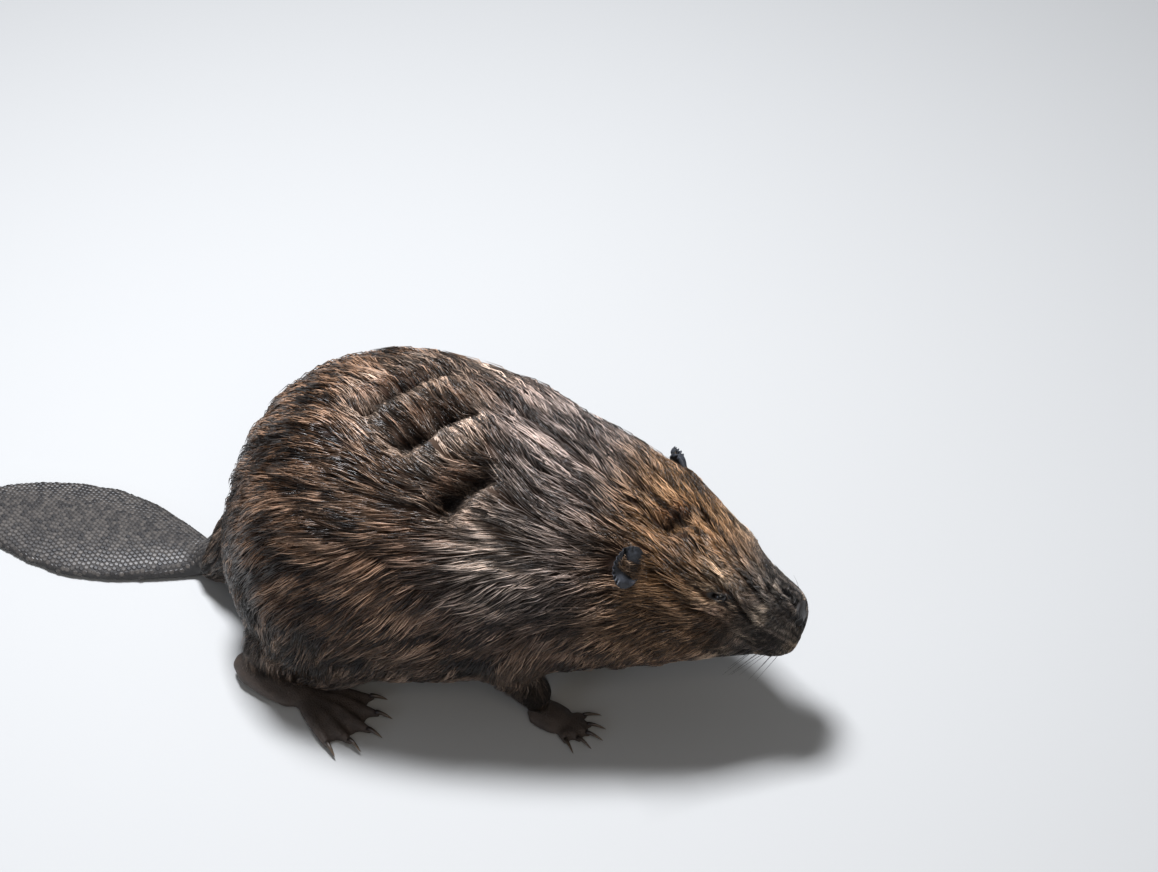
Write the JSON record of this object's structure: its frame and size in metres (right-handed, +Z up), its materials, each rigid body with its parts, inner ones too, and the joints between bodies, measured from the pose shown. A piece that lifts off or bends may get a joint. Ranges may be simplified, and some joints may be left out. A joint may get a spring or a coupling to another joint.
{
  "type": "beaver",
  "caption": "Life-size still model of a live beaver crouched on all fours, back arched, head low and forward, flat scaly tail laid behind.",
  "frame": {"origin": "on the floor under the middle of the animal's overall box", "axes": "+Z up, snout towards -Y, tail towards +Y, the animal's right side towards -X"},
  "size_m": [0.3666, 0.82, 0.2819],
  "materials": {
    "fur_head": "short ginger-brown guard hair over dense underfur, darker on the muzzle",
    "fur_body": "long grey-brown guard hair with pale tips in thin overlapping locks",
    "fur_limb": "short dark brown fur",
    "nose_skin": "naked, finely pebbled, slightly damp black skin",
    "ear_skin": "thin blue-black skin with short hairs",
    "foot_skin": "dark grey-black scaly skin with webs",
    "tail_scales": "dark grey leathery skin in rows of small scales",
    "eye": "wet, glossy, near black",
    "claw_horn": "dark brown horn, worn smooth"
  },
  "bodies": {
    "root": {"head": "fur_head", "lower_jaw": "fur_head", "neck": "fur_head", "nose": "nose_skin", "eye_left": "eye", "eye_right": "eye", "ear_left": "ear_skin", "ear_right": "ear_skin", "trunk": "fur_body", "upper_arm_left": "fur_body", "upper_arm_right": "fur_body", "thigh_left": "fur_body", "thigh_right": "fur_body", "tail_base": "fur_limb", "forearm_left": "fur_limb", "forearm_right": "fur_limb", "lower_leg_left": "fur_limb", "lower_leg_right": "fur_limb", "forefoot_left": "foot_skin", "forefoot_right": "foot_skin", "hind_foot_left": "foot_skin", "hind_foot_right": "foot_skin", "tail_blade": "tail_scales", "fore_claw_left_1": "claw_horn", "fore_claw_left_2": "claw_horn", "fore_claw_left_3": "claw_horn", "fore_claw_left_4": "claw_horn", "fore_claw_left_5": "claw_horn", "fore_claw_right_1": "claw_horn", "fore_claw_right_2": "claw_horn", "fore_claw_right_3": "claw_horn", "fore_claw_right_4": "claw_horn", "fore_claw_right_5": "claw_horn", "hind_claw_left_1": "claw_horn", "hind_claw_left_2": "claw_horn", "hind_claw_left_3": "claw_horn", "hind_claw_left_4": "claw_horn", "hind_claw_left_5": "claw_horn", "hind_claw_right_1": "claw_horn", "hind_claw_right_2": "claw_horn", "hind_claw_right_3": "claw_horn", "hind_claw_right_4": "claw_horn", "hind_claw_right_5": "claw_horn"}
  },
  "joints": []
}
